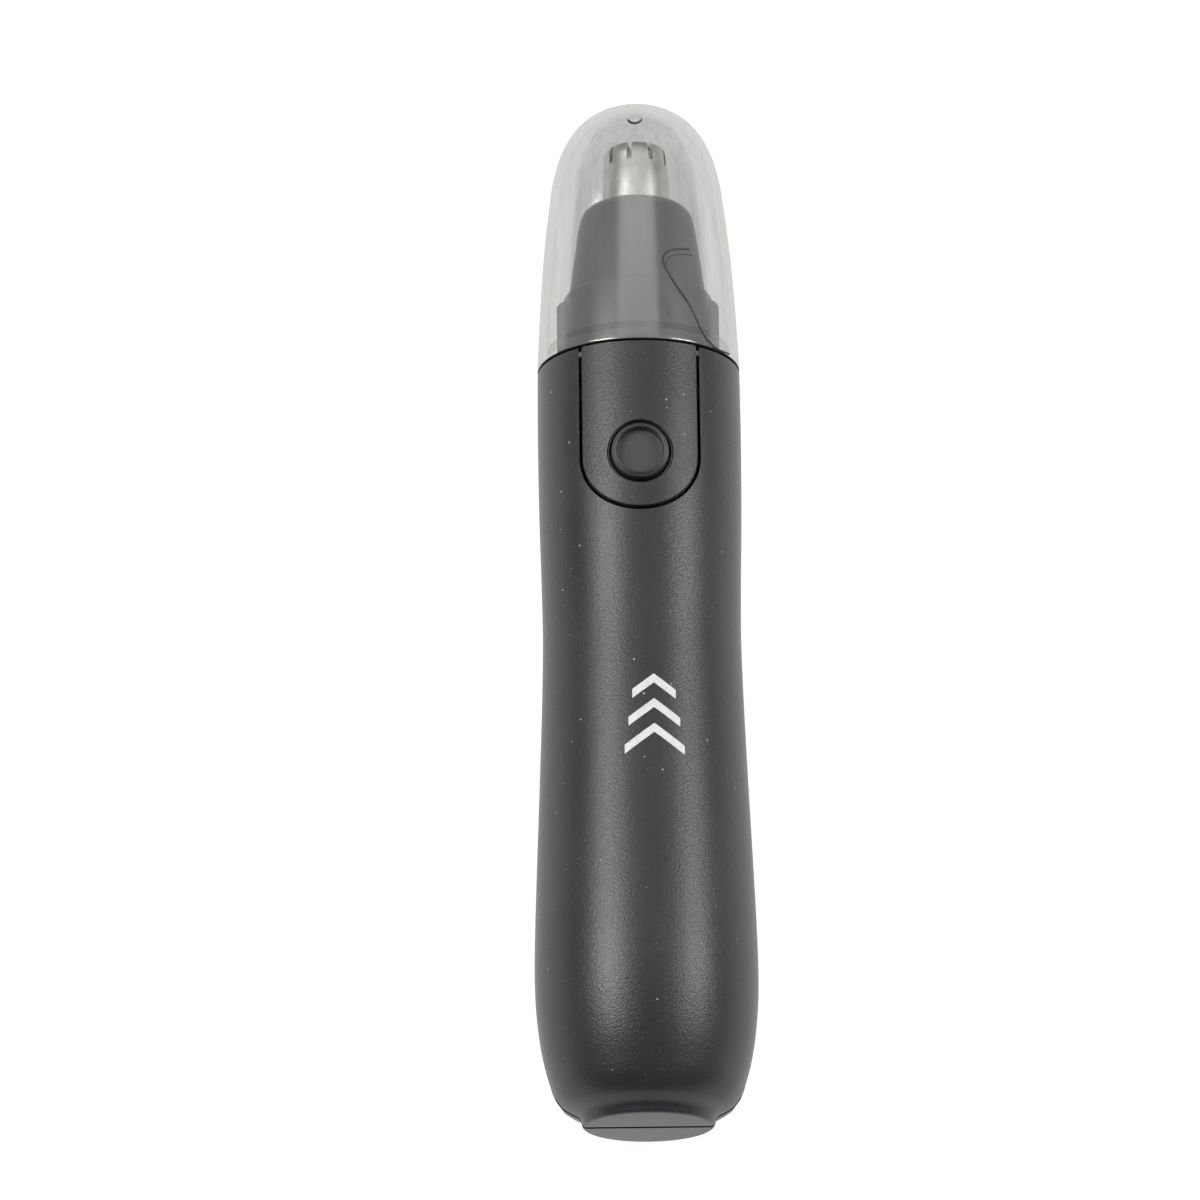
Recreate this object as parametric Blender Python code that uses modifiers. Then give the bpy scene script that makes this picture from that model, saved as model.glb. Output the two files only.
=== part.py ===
"""Battery nose hair trimmer, as the separate pieces it comes apart into.

Every piece is drawn standing up: +Z runs from the foot to the tip and the switch side faces -Y. The
empty laid_on_back then lays the whole trimmer down on the flat of its battery cover, so that in the
finished model +Y points to the tip, +Z out of the switch side, and the origin is below the middle.
Sizes are in millimetres and become metres in the helpers.
"""
import math

import bmesh
import bpy
from mathutils import Vector
from mathutils.geometry import interpolate_bezier

MM = 0.001
GAP = 0.3                 # clearance between pieces that touch or nearly touch
FINE, ROUND, SMALL = 40, 24, 16   # facets round the casing, the middling pieces and the little ones

# Heights above the foot face
RIM = 106.2               # mouth of the casing
CAP_MOUTH = RIM + GAP
TIP = 145.5               # crown of the protective cap
COVER_TOP = 70.1          # where the battery cover meets the casing
COLLAR_TOP = 117.0
CONE_TOP = 130.8
TUBE_TOP = 139.6
BUTTON_AT = 90.3

# Radii, widths and thicknesses
WALL = 1.8
HALF_SEAM = 0.15
BACK_FLAT = 13.97         # from the long axis to the flat the trimmer lies on
FOOT_RADIUS = 8.75
COLLAR_RADIUS = 10.3
SPIGOT_RADIUS = 11.8
TUBE_RADIUS = 4.66
CAP_WALL = 1.2
PANEL_HALF_WIDTH = 8.0
PANEL_GROOVE = 0.4
GRIP_COUNT, FIRST_GRIP, GRIP_PITCH = 6, 52.0, 2.4    # thumb grooves across the battery cover
BUTTON_RADIUS = 3.6
BUTTON_HOLE = 4.2
BUTTON_FLANGE, FLANGE_BACK, BUTTON_TRAVEL = 4.7, 10.8, 1.2

# The AA cell and the 130-size motor that the casing is made round
CELL_RADIUS, CELL_LENGTH, CELL_NUB = 7.25, 49.5, 1.0
CELL_FOOT = 8.6
LEAD_RADIUS = 0.4
MOTOR_RADIUS, MOTOR_HALF_DEPTH, MOTOR_SKIN = 10.05, 7.55, 0.8
MOTOR_REAR, MOTOR_FRONT = 65.0, 86.0
SHAFT_RADIUS = 1.0
SCREW_REACH = 7.2         # from the long axis to each of the two screws that hold the motor
DOG_HALF_WIDTH, DOG_HALF_DEPTH = 2.2, 0.5

# Cutting slots of the blade tube
SLOT_COUNT, SLOT_WIDTH, SLOT_DEPTH, FIRST_SLOT = 9, 0.7, 2.8, math.radians(-12)
UNLOCK_TURN = math.radians(40)    # how far the head turns before its ears meet the collar's notches

# Side outlines, as (radius, height) from the foot up
STUB_SIDE = [(8.4, 0.0), (FOOT_RADIUS, 0.35), (9.0, 0.9), (9.35, 1.35)]
BODY_SIDE = [
    (9.8, 1.6), (11.4, 2.6), (12.35, 3.95), (13.12, 6.2), (14.0, 9.6), (14.6, 13.6), (14.88, 16.9),
    (14.97, 20.2), (14.87, 26.9), (14.64, 33.5), (14.11, 47.0), (13.64, 60.6), (13.5, 67.5), (13.6, 75.0),
    (13.83, 84.6), (BACK_FLAT, 98.6), (13.93, RIM),
]
CAVITY_FLOOR = [(0.0, 2.2), (7.2, 2.2), (9.85, 4.6), (11.4, 7.5)]
CAP_SIDE = [
    (13.94, CAP_MOUTH), (13.5, 115.7), (12.78, 125.2), (12.25, 129.9), (11.6, 134.6), (10.65, 138.1),
    (9.6, 140.4), (8.35, 142.2), (6.75, 143.65), (4.9, 144.7), (2.7, 145.3), (0.0, TIP),
]
CONE_SIDE = [(9.45, COLLAR_TOP + GAP), (9.3, 119.0), (8.62, 124.0), (7.95, 128.3)]
CONE_SHOULDER = [(7.95, 128.3), (7.65, 129.35), (7.0, 130.2), (6.1, 130.65), (5.0, CONE_TOP)]
TUBE_SIDE = [(TUBE_RADIUS, 131.0), (4.6, 134.6), (4.4, 136.8), (4.17, 138.9)]

for leftover in list(bpy.data.objects):
    bpy.data.objects.remove(leftover, do_unlink=True)


def new_collection(name):
    made = bpy.data.collections.new(name)
    bpy.context.scene.collection.children.link(made)
    return made


PARTS = new_collection("nose_hair_trimmer")
CUTTERS = new_collection("cutters")

LAID_ON_BACK = bpy.data.objects.new("laid_on_back", None)
LAID_ON_BACK.location = (0.0, -TIP / 2 * MM, BACK_FLAT * MM)
LAID_ON_BACK.rotation_euler = (-math.pi / 2, 0.0, 0.0)
PARTS.objects.link(LAID_ON_BACK)


def finish(name, colour, roughness, metallic=0.0, alpha=1.0):
    """A Principled material, made once and shared by name."""
    if name in bpy.data.materials:
        return bpy.data.materials[name]
    made = bpy.data.materials.new(name)
    made.use_nodes = True
    shader = made.node_tree.nodes["Principled BSDF"]
    shader.inputs["Base Color"].default_value = (*colour, 1.0)
    shader.inputs["Roughness"].default_value = roughness
    shader.inputs["Metallic"].default_value = metallic
    shader.inputs["Alpha"].default_value = alpha
    return made


SOFT_TOUCH = finish("soft_touch_charcoal", (0.07, 0.07, 0.075), 0.45)
NECK_PLASTIC = finish("slate_plastic", (0.13, 0.13, 0.14), 0.4)
INNER_PLASTIC = finish("grey_inner_plastic", (0.3, 0.3, 0.31), 0.55)
WHITE_PLASTIC = finish("white_nylon", (0.75, 0.74, 0.7), 0.5)
SMOKE_CLEAR = finish("smoke_clear_plastic", (0.7, 0.69, 0.67), 0.08, alpha=0.35)
CUTTER_STEEL = finish("stainless_steel", (0.72, 0.71, 0.66), 0.25, 1.0)
PLATED_STEEL = finish("plated_steel", (0.6, 0.6, 0.58), 0.35, 1.0)
SPRING_STEEL = finish("spring_steel", (0.55, 0.55, 0.55), 0.3, 1.0)
CONTACT_BRASS = finish("contact_brass", (0.75, 0.6, 0.28), 0.3, 1.0)
COPPER = finish("copper", (0.75, 0.38, 0.2), 0.35, 1.0)
BEARING_BRONZE = finish("bearing_bronze", (0.55, 0.38, 0.2), 0.45, 1.0)
MAGNET_FERRITE = finish("ferrite", (0.06, 0.06, 0.065), 0.7)
BLACK_RUBBER = finish("black_rubber", (0.03, 0.03, 0.03), 0.8)
GREY_FOAM = finish("grey_foam", (0.25, 0.25, 0.26), 0.95)
BOARD_GREEN = finish("board_laminate", (0.05, 0.25, 0.12), 0.5)
CELL_JACKET = finish("cell_jacket", (0.09, 0.12, 0.2), 0.3)
RED_LEAD = finish("red_lead", (0.6, 0.04, 0.03), 0.5)
BLACK_LEAD = finish("black_lead", (0.03, 0.03, 0.03), 0.5)


# ---------------------------------------------------------------- helpers

def place(name, mesh, material=None, frontward=False):
    """Link a mesh under the laid_on_back empty; a frontward piece has its own +Z out of the switch side."""
    piece = bpy.data.objects.new(name, mesh)
    piece.parent = LAID_ON_BACK
    if frontward:
        piece.rotation_euler = (math.pi / 2, 0.0, 0.0)
        piece.location = (0.0, 0.0, BUTTON_AT * MM)
    if material:
        mesh.materials.append(material)
    PARTS.objects.link(piece)
    return piece


def inset(outline, distance):
    """The outline moved inwards, square to its own run; it runs from the foot up."""
    moved = []
    for i, (radius, height) in enumerate(outline):
        before, after = outline[max(i - 1, 0)], outline[min(i + 1, len(outline) - 1)]
        run = Vector((after[0] - before[0], after[1] - before[1])).normalized()
        moved.append((max(radius - run.y * distance, 0.0), height + run.x * distance))
    return moved


def turned(name, outline, material=None, facets=SMALL, ring=False, frontward=False):
    """A turned piece: its outline runs down the outer side, and back up the inner side of a ring."""
    points = [(radius * MM, 0.0, height * MM) for radius, height in outline]
    edges = [(i, i + 1) for i in range(len(points) - 1)]
    if ring:
        edges.append((len(points) - 1, 0))
    mesh = bpy.data.meshes.new(name)
    mesh.from_pydata(points, edges, [])
    piece = place(name, mesh, material, frontward)
    screw = piece.modifiers.new("turn", 'SCREW')
    screw.steps = screw.render_steps = facets
    screw.use_merge_vertices = True
    screw.merge_threshold = 0.00001
    return piece


def rod(name, radius, low, high, material=None, facets=SMALL, frontward=False):
    outline = [(0, high), (radius, high), (radius, low), (0, low)]
    return turned(name, outline, material, facets, False, frontward)


def ring(name, inner, outer, low, high, material=None, facets=SMALL):
    return turned(name, [(outer, high), (outer, low), (inner, low), (inner, high)], material, facets, True)


def ring_of(name, outline, material=None, facets=ROUND):
    """A turned ring whose outline runs down the outer side and back up the inner side."""
    return turned(name, outline, material, facets, ring=True)


def box(name, low, high, material=None, bevel=0.0):
    """A block between two corners."""
    mesh = bpy.data.meshes.new(name)
    shape = bmesh.new()
    bmesh.ops.create_cube(shape, size=1.0)
    low, high = Vector(low) * MM, Vector(high) * MM
    for vert in shape.verts:
        vert.co = low + (high - low) * (vert.co + Vector((0.5, 0.5, 0.5)))
    shape.to_mesh(mesh)
    shape.free()
    piece = place(name, mesh, material)
    if bevel:
        edge = piece.modifiers.new("edge", 'BEVEL')
        edge.width = bevel * MM
        edge.segments = 2
        edge.limit_method = 'ANGLE'
    return piece


def mesh_of_curve(name, curve, material=None, frontward=False):
    """A curve made a closed mesh, so that it can be cut or cut others."""
    drawn = bpy.data.objects.new(name, curve)
    bpy.context.scene.collection.objects.link(drawn)
    bpy.context.view_layer.update()
    mesh = bpy.data.meshes.new_from_object(drawn.evaluated_get(bpy.context.evaluated_depsgraph_get()))
    bpy.data.objects.remove(drawn)
    shape = bmesh.new()
    shape.from_mesh(mesh)
    bmesh.ops.remove_doubles(shape, verts=shape.verts, dist=0.000001)
    bmesh.ops.recalc_face_normals(shape, faces=shape.faces)
    shape.to_mesh(mesh)
    shape.free()
    return place(name, mesh, material, frontward)


def plate(name, outline, low, high, material=None, frontward=False):
    """A flat outline of (x, y) points made as thick as from low to high."""
    curve = bpy.data.curves.new(name, 'CURVE')
    curve.dimensions = '2D'
    curve.fill_mode = 'BOTH'
    curve.extrude = (high - low) / 2 * MM
    spline = curve.splines.new('POLY')
    spline.points.add(len(outline) - 1)
    for point, (x, y) in zip(spline.points, outline):
        point.co = (x * MM, y * MM, 0.0, 1.0)
    spline.use_cyclic_u = True
    piece = mesh_of_curve(name, curve, material, frontward)
    for vert in piece.data.vertices:
        vert.co.z += (low + high) / 2 * MM
    return piece


def wire(name, points, radius, material=None, frontward=False):
    """A round wire through the points, given in millimetres."""
    curve = bpy.data.curves.new(name, 'CURVE')
    curve.dimensions = '3D'
    curve.bevel_depth = radius * MM
    curve.bevel_resolution = 2
    curve.use_fill_caps = True
    spline = curve.splines.new('POLY')
    spline.points.add(len(points) - 1)
    for point, place_mm in zip(spline.points, points):
        point.co = (*(Vector(place_mm) * MM), 1.0)
    return mesh_of_curve(name, curve, material, frontward)


def along_3d(points, per_span=2):
    """A smooth curve through points in space."""
    knots = [Vector(point) for point in points]
    ends = [knots[0] * 2 - knots[1]] + knots + [knots[-1] * 2 - knots[-2]]
    curve = [knots[0]]
    for before, here, after, last in zip(ends, ends[1:], ends[2:], ends[3:]):
        first, second = here + (after - before) / 6, after - (last - here) / 6
        curve += interpolate_bezier(here, first, second, after, per_span + 1)[1:]
    return curve


def helix(low, high, turns, low_radius, high_radius, per_turn=10):
    """Centre line of a coil whose first and last half turns lie flat."""
    count = round(turns * per_turn)
    points = []
    for i in range(count + 1):
        turn = turns * i / count
        rise = min(max((turn - 0.5) / (turns - 1.0), 0.0), 1.0)
        radius = low_radius + (high_radius - low_radius) * rise
        angle = 2 * math.pi * turn
        points.append((radius * math.cos(angle), radius * math.sin(angle), low + (high - low) * rise))
    return points


def combine(piece, operation, tools):
    """Cut, join or trim a piece with tools that stay in the file as wire cages."""
    for tool in tools:
        if tool.name not in CUTTERS.objects:
            PARTS.objects.unlink(tool)
            CUTTERS.objects.link(tool)
            tool.hide_render = True
            tool.display_type = 'WIRE'
        step = piece.modifiers.new(tool.name, 'BOOLEAN')
        step.operation = operation
        step.solver = 'EXACT'
        step.object = tool
    return piece


def side_box(name, side, low, high, material=None):
    """A box given for the right side, mirrored to the left when side is -1."""
    near, far = sorted((side * low[0], side * high[0]))
    return box(name, (near, *low[1:]), (far, *high[1:]), material)


# ---------------------------------------------------------------- casing, battery cover and switch panel

CAVITY = CAVITY_FLOOR + [(radius - WALL, height) for radius, height in BODY_SIDE if height > 9.5]
CAVITY += [(CAVITY[-1][0], RIM + 4), (0.0, RIM + 4)]


def body_radius(height):
    """Outer radius of the casing at a height."""
    for (r0, h0), (r1, h1) in zip(BODY_SIDE, BODY_SIDE[1:]):
        if h0 <= height <= h1:
            return r0 + (r1 - r0) * (height - h0) / (h1 - h0)
    return BODY_SIDE[-1][0]


def casing_blank(name, top):
    """The whole outer form of the casing as one turned solid, up to a height."""
    side = STUB_SIDE + [point for point in BODY_SIDE if point[1] < top - 0.5] + [(body_radius(top), top)]
    return turned(name, [(0, top)] + side[::-1] + [(0, 0)], SOFT_TOUCH, FINE)


def panel_outline(half_width, top):
    """A tongue with a round end about the button, open at the casing's mouth; heights are from the button."""
    outline = [(half_width, top - BUTTON_AT)]
    for step in range(25):
        angle = -math.pi * step / 24
        outline.append((half_width * math.cos(angle), half_width * math.sin(angle)))
    outline.append((-half_width, top - BUTTON_AT))
    return outline


def casing():
    """The front half of the casing from the foot up, a whole tube above the battery cover, and the cover."""
    cavity = turned("cavity", CAVITY[::-1], None, FINE)
    housing = casing_blank("main_housing", RIM)
    rear = box("rear_half", (-20, -HALF_SEAM, -1), (20, 20, COVER_TOP + HALF_SEAM))
    notch_outline = panel_outline(PANEL_HALF_WIDTH + PANEL_GROOVE / 2, RIM + 4)
    notch = plate("panel_notch", notch_outline, 5, 20, None, True)
    combine(housing, 'DIFFERENCE', [cavity, rear, notch])
    core_side = [(radius - WALL / 2, height) for radius, height in BODY_SIDE if 9 < height < 62]
    core = turned("rail_core", [(0, core_side[-1][1])] + core_side[::-1] + [(0, core_side[0][1])], None, FINE)
    for name, side in (("left", -1), ("right", 1)):
        rail = side_box("cover_rail_" + name, side, (10.4, -8.0, 12.0), (11.2, 1.6, 56.0))
        combine(rail, 'INTERSECT', [core])
        combine(housing, 'UNION', [rail])

    cover = casing_blank("battery_cover", COVER_TOP - HALF_SEAM)
    front = box("front_half", (-20, -20, -1), (20, HALF_SEAM, COVER_TOP + 1))
    flat = box("rest_flat", (-20, BACK_FLAT, -1), (20, 20, COVER_TOP + 1))
    combine(cover, 'DIFFERENCE', [cavity, front, flat])
    tongue = ring_of("cover_tongue", [
        (11.5, 73.5), (11.5, 70.0), (12.3, 69.4), (12.3, 66.0), (10.6, 66.0), (10.6, 73.5)])
    combine(tongue, 'INTERSECT', [box("tongue_width", (-8, 2, 60), (8, 15, 80))])
    combine(cover, 'UNION', [tongue])
    for count in range(GRIP_COUNT):
        height = FIRST_GRIP + GRIP_PITCH * count
        depth = body_radius(height)
        groove = box(f"grip_groove_{count}", (-6, depth - 0.7, height - 0.5), (6, depth + 2, height + 0.5))
        combine(cover, 'DIFFERENCE', [groove])


def switch_panel():
    """The tongue-shaped panel, stepped so that its wider flange sits behind the casing's wall."""
    flange_top = 98.5
    low_heights = (81.5, 86.3, 90.3, 94.2, flange_top)
    outer = [(body_radius(height), height) for height in (RIM, 102.4, *reversed(low_heights))]
    inner = [(body_radius(height) - 2.9, height) for height in low_heights]
    step = [(body_radius(flange_top) - 1.5, flange_top), (body_radius(RIM) - 1.5, RIM)]
    panel = turned("switch_panel", outer + inner + step, SOFT_TOUCH, FINE, ring=True)
    panel_shape = panel_outline(PANEL_HALF_WIDTH - PANEL_GROOVE / 2, RIM + 4)
    combine(panel, 'INTERSECT', [plate("panel_shape", panel_shape, 5, 20, None, True)])
    back = [(body_radius(height) - 2.1, height) for height in (flange_top, 94.2, 90.3, 86.3, 80.0)]
    flange = ring_of("panel_flange", back + [(r - 0.8, height) for r, height in reversed(back)], None, FINE)
    flange_shape = panel_outline(9.2, flange_top + 3)
    combine(flange, 'INTERSECT', [plate("flange_shape", flange_shape, 5, 20, None, True)])
    hole_outline = [(0, 16), (4.5, 16), (4.5, 14.1), (BUTTON_HOLE, 13.7), (BUTTON_HOLE, 5), (0, 5)]
    hole = turned("button_hole", hole_outline, None, ROUND, frontward=True)
    pocket = rod("button_flange_pocket", BUTTON_FLANGE + 0.5, 5, 11.9, None, ROUND, True)
    combine(panel, 'UNION', [flange])
    combine(panel, 'DIFFERENCE', [hole, pocket])


# ---------------------------------------------------------------- power button and switch

def power_switch():
    """Push button, its return spring, and the latching switch on a small board."""
    turned("power_button", [
        (0, 13.65), (2.85, 13.65), (3.05, 14.9), (3.45, 14.9), (BUTTON_RADIUS, 14.7),
        (BUTTON_RADIUS, 11.6), (BUTTON_FLANGE, 11.6), (BUTTON_FLANGE, FLANGE_BACK), (0, FLANGE_BACK)],
        SOFT_TOUCH, ROUND, frontward=True)
    rod("switch_actuator", 1.05, 7.4, 10.5, WHITE_PLASTIC, 16, True)
    wire("button_return_spring", helix(7.95, 10.25, 3.0, 2.35, 2.35), 0.22, SPRING_STEEL, True)
    body = box("switch_body", (-3.2, -7.4, BUTTON_AT - 2.6), (3.2, -5.8, BUTTON_AT + 2.6), INNER_PLASTIC)
    combine(body, 'UNION', [rod("switch_boss", 1.8, 7.0, 8.8, None, SMALL, True)])
    combine(body, 'DIFFERENCE', [rod("actuator_hole", 1.4, 6.05, 9.5, None, 16, True)])
    box("switch_board", (-6.2, -5.5, 88.0), (6.2, -4.7, 97.0), BOARD_GREEN)


# ---------------------------------------------------------------- chassis, cell and contacts

def chassis():
    """Battery trough, bulkheads, the spine over the motor and the arms under the switch board."""
    trough = ring("chassis", 7.7, 8.7, 5.0, 60.6, INNER_PLASTIC, ROUND)
    combine(trough, 'DIFFERENCE', [box("trough_mouth", (-10, 2.0, 6.5), (10, 10, 60.3))])
    combine(trough, 'UNION', [
        rod("foot_bulkhead", 8.7, 4.6, 5.6, None, ROUND),
        rod("middle_bulkhead", 10.0, 60.1, 61.1, None, ROUND),
        box("spine", (-4, -9.1, 58.0), (4, -7.9, 87.2)),
        rod("motor_plate", 10.4, 86.3, 87.4, None, ROUND)])
    for name, side in (("left", -1), ("right", 1)):
        combine(trough, 'UNION', [side_box("board_arm_" + name, side, (4.6, -4.4, 86.8), (6.4, -3.2, 97.5))])
        hole = rod("screw_hole_" + name, 1.3, 80, 90, None, 16)
        hole.location.x = side * SCREW_REACH * MM
        combine(trough, 'DIFFERENCE', [hole])
    combine(trough, 'DIFFERENCE', [
        rod("motor_boss_hole", 3.4, 84, 90),
        rod("button_way", BUTTON_FLANGE + 0.5, FLANGE_BACK - BUTTON_TRAVEL - GAP, 13, None, ROUND, True),
        box("pad_way", (-10, 6.2, 4), (10, 10, 6.6)),
        box("lead_window", (-9.5, -5.4, 58.3), (-5.5, -2.2, 60.1))])


def battery():
    """An AA cell between its two contacts, and the leads that run beside it."""
    top = CELL_FOOT + CELL_LENGTH
    turned("battery_cell", [
        (0, top + CELL_NUB), (2.5, top + CELL_NUB), (2.7, top + 0.8), (2.7, top), (6.7, top),
        (CELL_RADIUS, top - 0.5), (CELL_RADIUS, CELL_FOOT + 0.5), (6.7, CELL_FOOT), (0, CELL_FOOT)],
        CELL_JACKET, ROUND)
    contact_foot = top + CELL_NUB + GAP
    box("positive_contact", (-4, -3, contact_foot), (4, 3, contact_foot + 0.4), PLATED_STEEL)
    rod("negative_contact_plate", 5.5, 5.9, 6.3, PLATED_STEEL)
    wire("negative_contact_coil", helix(6.95, 7.95, 3.0, 4.6, 2.6), 0.3, SPRING_STEEL)
    box("battery_foam_pad", (-3.5, 7.7, 25.0), (3.5, 11.8, 40.0), GREY_FOAM)
    wire("negative_lead", along_3d([
        (8.9, -4.1, 6.8), (8.9, -4.1, 30), (8.9, -4.1, 52), (9.7, -4.5, 57), (9.9, -4.9, 61),
        (9.0, -6.6, 62.6), (7.3, -7.8, 63.4)]), LEAD_RADIUS, BLACK_LEAD)
    wire("positive_lead", along_3d([
        (-6.6, -3.4, 59.2), (-8.6, -3.6, 59.15), (-10.3, -2.6, 59.3), (-10.95, -1.3, 61.5),
        (-10.95, -0.8, 74), (-10.95, -0.8, 86), (-9.8, -3.4, 92.5), (-6.9, -5.1, 94.5)]),
        LEAD_RADIUS, RED_LEAD)
    wire("motor_lead", along_3d([
        (-6.9, -5.1, 89.5), (-9.5, -4.9, 88.2), (-9.95, -4.7, 84), (-9.95, -4.7, 75), (-9.95, -5.0, 66),
        (-9.0, -6.6, 64.2), (-7.3, -7.8, 63.4)]), LEAD_RADIUS, RED_LEAD)


# ---------------------------------------------------------------- motor

def flatted(name, radius, half_depth, low, high, material=None):
    """A round with two flats, as small motors have, front and back."""
    piece = rod(name, radius, low, high, material, ROUND)
    flats = box(name + "_flats", (-20, -half_depth, low - 5), (20, half_depth, high + 5))
    return combine(piece, 'INTERSECT', [flats])


def motor():
    """Can, end cap, magnets, brushes and terminals stand still; shaft, core and commutator spin."""
    can = flatted("motor_can", MOTOR_RADIUS, MOTOR_HALF_DEPTH, MOTOR_REAR, MOTOR_FRONT, PLATED_STEEL)
    hollow = flatted("can_hollow", MOTOR_RADIUS - MOTOR_SKIN, MOTOR_HALF_DEPTH - MOTOR_SKIN, MOTOR_REAR - 2,
                     MOTOR_FRONT - MOTOR_SKIN)
    combine(can, 'UNION', [rod("can_boss", 3.05, MOTOR_FRONT - 0.5, 87.5)])
    combine(can, 'DIFFERENCE', [hollow, rod("bush_seat", 2.5, 80, 90)])
    for name, side in (("left", -1), ("right", 1)):
        hole = rod("can_screw_hole_" + name, 1.3, 84, 88, None, 16)
        hole.location.x = side * SCREW_REACH * MM
        combine(can, 'DIFFERENCE', [hole])
        shank = rod("motor_screw_" + name, 1.0, 83.5, 87.9, PLATED_STEEL, 16)
        head = rod("screw_head_" + name, 1.9, 87.7, 88.9, None, 20)
        slot = box("screw_slot_" + name, (-2.5, -0.25, 88.5), (2.5, 0.25, 89.5))
        for piece in (shank, head, slot):
            piece.location.x = side * SCREW_REACH * MM
        combine(shank, 'UNION', [head])
        combine(shank, 'DIFFERENCE', [slot])
        magnet = ring("motor_magnet_" + name, 6.9, 8.9, 67.0, 81.0, MAGNET_FERRITE, ROUND)
        combine(magnet, 'INTERSECT', [side_box("magnet_span_" + name, side, (4.5, -5.6, 66), (10, 5.6, 82))])
        side_box("motor_brush_" + name, side, (2.95, -1.2, 64.7), (3.35, 1.2, 66.4), CONTACT_BRASS)
        side_box("motor_terminal_" + name, side, (4.5, -8.0, 62.3), (6.5, -7.6, 64.5), CONTACT_BRASS)
    end_cap = flatted("motor_end_cap", 9.8, 7.3, 62.1, MOTOR_REAR - GAP, WHITE_PLASTIC)
    combine(end_cap, 'DIFFERENCE', [rod("rear_bearing_hole", 1.3, 62.9, 66)])
    ring("motor_bush", 1.3, 2.2, 85.4, 87.5, BEARING_BRONZE)

    rod("motor_shaft", SHAFT_RADIUS, 63.2, 96.5, SPRING_STEEL)
    core = ring("rotor_core", 1.3, 6.3, 68.0, 80.0, COPPER, ROUND)
    for count in range(3):
        slot = box(f"rotor_slot_{count}", (3.4, -0.9, 67), (7.5, 0.9, 81))
        slot.rotation_euler.z = 2 * math.pi * count / 3
        combine(core, 'DIFFERENCE', [slot])
    ring("commutator", 1.3, 2.6, 65.0, 67.4, COPPER)
    coupling = rod("drive_coupling", 3.0, 89.3, 101.0, WHITE_PLASTIC)
    combine(coupling, 'DIFFERENCE', [
        rod("shaft_bore", SHAFT_RADIUS + GAP, 88, 97.0),
        box("dog_slot", (-4, -DOG_HALF_DEPTH - GAP, 98.0), (4, DOG_HALF_DEPTH + GAP, 103))])


# ---------------------------------------------------------------- neck, head and cutter

def neck():
    """The collar the head locks into and the cap grips, and the seal between collar and casing."""
    collar = ring_of("neck_collar", [
        (9.9, COLLAR_TOP), (COLLAR_RADIUS, COLLAR_TOP - 0.5), (COLLAR_RADIUS, 106.0), (SPIGOT_RADIUS, 105.9),
        (SPIGOT_RADIUS, 103.5), (10.5, 103.5), (10.5, 101.5), (SPIGOT_RADIUS, 101.5), (SPIGOT_RADIUS, 99.5),
        (7.9, 99.5), (7.9, 112.0), (6.1, 112.0), (6.1, COLLAR_TOP)], NECK_PLASTIC, FINE)
    for name, side in (("left", -1), ("right", 1)):
        lug = box("cap_lug_" + name, (8.5, -2.6, 105.5), (11.2, 2.6, 116.1), None, 0.5)
        notch = box("ear_notch_" + name, (4.5, -2.6, 111.0), (7.8, 2.6, 118))
        lug.rotation_euler.z = 0 if side > 0 else math.pi
        notch.rotation_euler.z = lug.rotation_euler.z + UNLOCK_TURN
        combine(collar, 'UNION', [lug])
        combine(collar, 'DIFFERENCE', [notch])
    torus = [(11.2 + 0.4 * math.cos(a), 102.5 + 0.4 * math.sin(a)) for a in
             (-2 * math.pi * step / 8 for step in range(8))]
    ring_of("neck_seal", torus, BLACK_RUBBER)


def head():
    """The removable head: nose cone, bayonet base, slotted blade tube, and what holds and guides them."""
    outside = CONE_SIDE + CONE_SHOULDER[1:]
    ring_of("head_cone", outside[::-1] + [
        (8.2, COLLAR_TOP + GAP), (8.2, 119.0), (7.6, 121.0), (6.5, 128.0), (6.4, 129.1), (5.0, 129.2)],
        NECK_PLASTIC, FINE)
    base = ring_of("head_base", [
        (3.6, 122.0), (3.6, 118.7), (7.9, 118.7), (7.9, COLLAR_TOP + GAP), (5.7, COLLAR_TOP + GAP),
        (5.7, 107.6), (4.4, 107.6), (4.4, 117.0), (2.6, 117.0), (2.6, 122.0)], NECK_PLASTIC)
    for name, side in (("left", -1), ("right", 1)):
        combine(base, 'UNION', [side_box("bayonet_ear_" + name, side, (5.0, -2.0, 108.3), (7.2, 2.0, 110.6))])
    ring("head_bush", 1.7, 2.3, 117.5, 121.5, BEARING_BRONZE)
    tube = turned("blade_tube", [(0, TUBE_TOP), (3.55, TUBE_TOP), (3.95, 139.4)] + TUBE_SIDE[::-1] + [
        (TUBE_RADIUS, 128.8), (6.0, 128.8), (6.0, 128.1), (4.2, 128.1), (4.2, 134.6), (3.75, 138.3),
        (3.4, 139.1), (0, 139.1)], CUTTER_STEEL, ROUND)
    slot_foot = TUBE_TOP - SLOT_DEPTH
    for count in range(SLOT_COUNT):
        slot = box(f"blade_slot_{count}", (-SLOT_WIDTH / 2, -7, slot_foot), (SLOT_WIDTH / 2, -1.4, 141))
        slot.rotation_euler.z = FIRST_SLOT + 2 * math.pi * count / SLOT_COUNT
        combine(tube, 'DIFFERENCE', [slot])
    ring("tube_retainer", 4.9, 6.0, 127.0, 127.7, SPRING_STEEL)


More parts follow.
